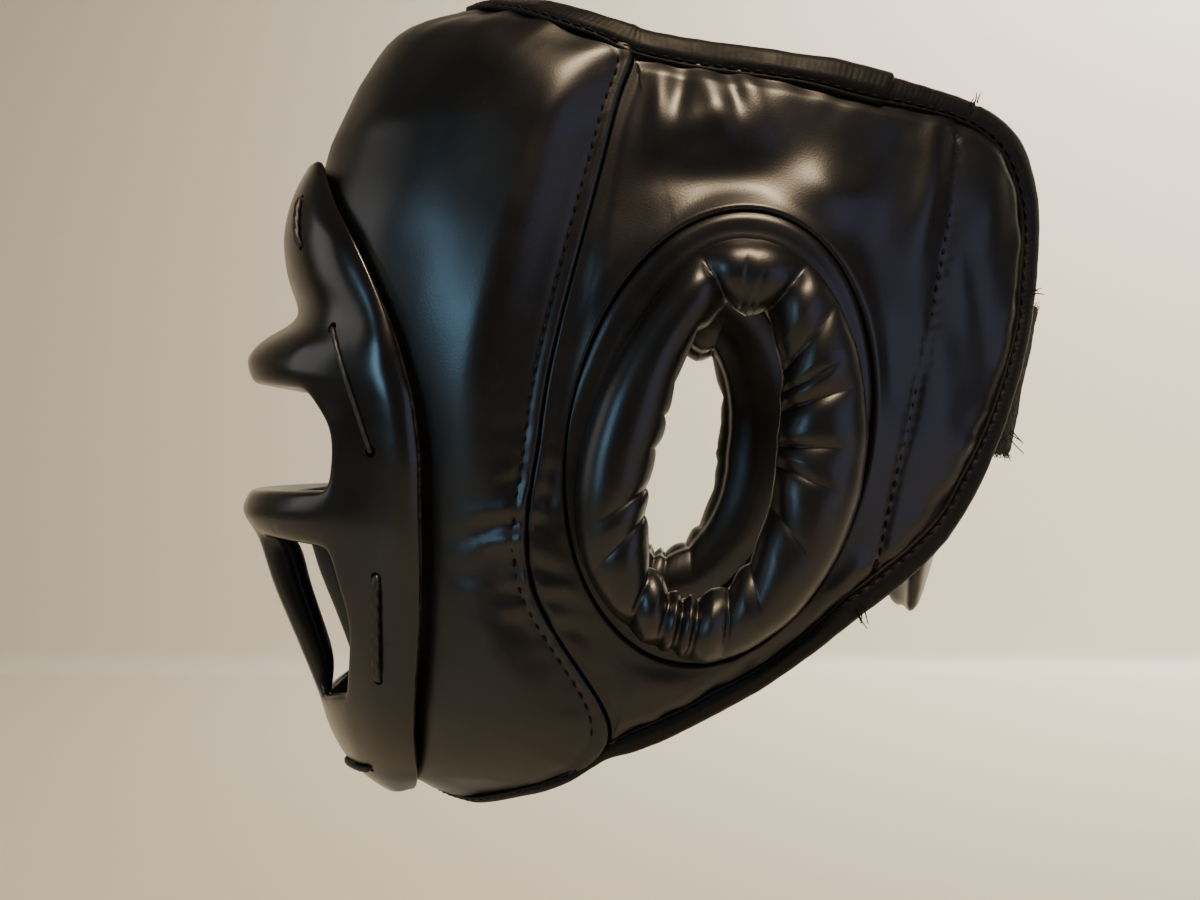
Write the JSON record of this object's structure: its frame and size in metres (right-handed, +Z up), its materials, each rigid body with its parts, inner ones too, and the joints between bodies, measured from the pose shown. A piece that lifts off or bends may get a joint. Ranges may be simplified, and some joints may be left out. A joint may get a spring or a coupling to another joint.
{
  "type": "padded head guard with face cage",
  "caption": "Padded vinyl head guard for contact sports with a moulded plastic face cage laced to its front pad, stuffed ear rolls, bound edges and a hook-and-loop strap.",
  "frame": {"origin": "midway between the centres of the two ear openings, on the mid plane", "axes": "+Z up as worn, -Y the way the wearer faces, +X the wearer's left"},
  "size_m": [0.2044, 0.2615, 0.2566],
  "materials": {
    "vinyl": "satin black coated vinyl",
    "binding_tape": "folded black tape",
    "cage_plastic": "moulded, semi-gloss black",
    "lace_cord": "waxed black cord",
    "hook_and_loop": "fuzzy black strap"
  },
  "bodies": {
    "root": {"front_pad": "vinyl", "ear_panel_left": "vinyl", "ear_panel_right": "vinyl", "ear_roll_left": "vinyl", "ear_roll_right": "vinyl", "neck_pad": "vinyl", "forehead_binding": "binding_tape", "chin_binding": "binding_tape", "ear_panel_binding_left": "binding_tape", "ear_panel_binding_right": "binding_tape", "face_cage": "cage_plastic", "lace_forehead_left": "lace_cord", "lace_forehead_right": "lace_cord", "lace_temple_left": "lace_cord", "lace_temple_right": "lace_cord", "lace_cheek_left": "lace_cord", "lace_cheek_right": "lace_cord", "lace_chin_left": "lace_cord", "lace_chin_right": "lace_cord", "closure_strap": "hook_and_loop"}
  },
  "joints": []
}
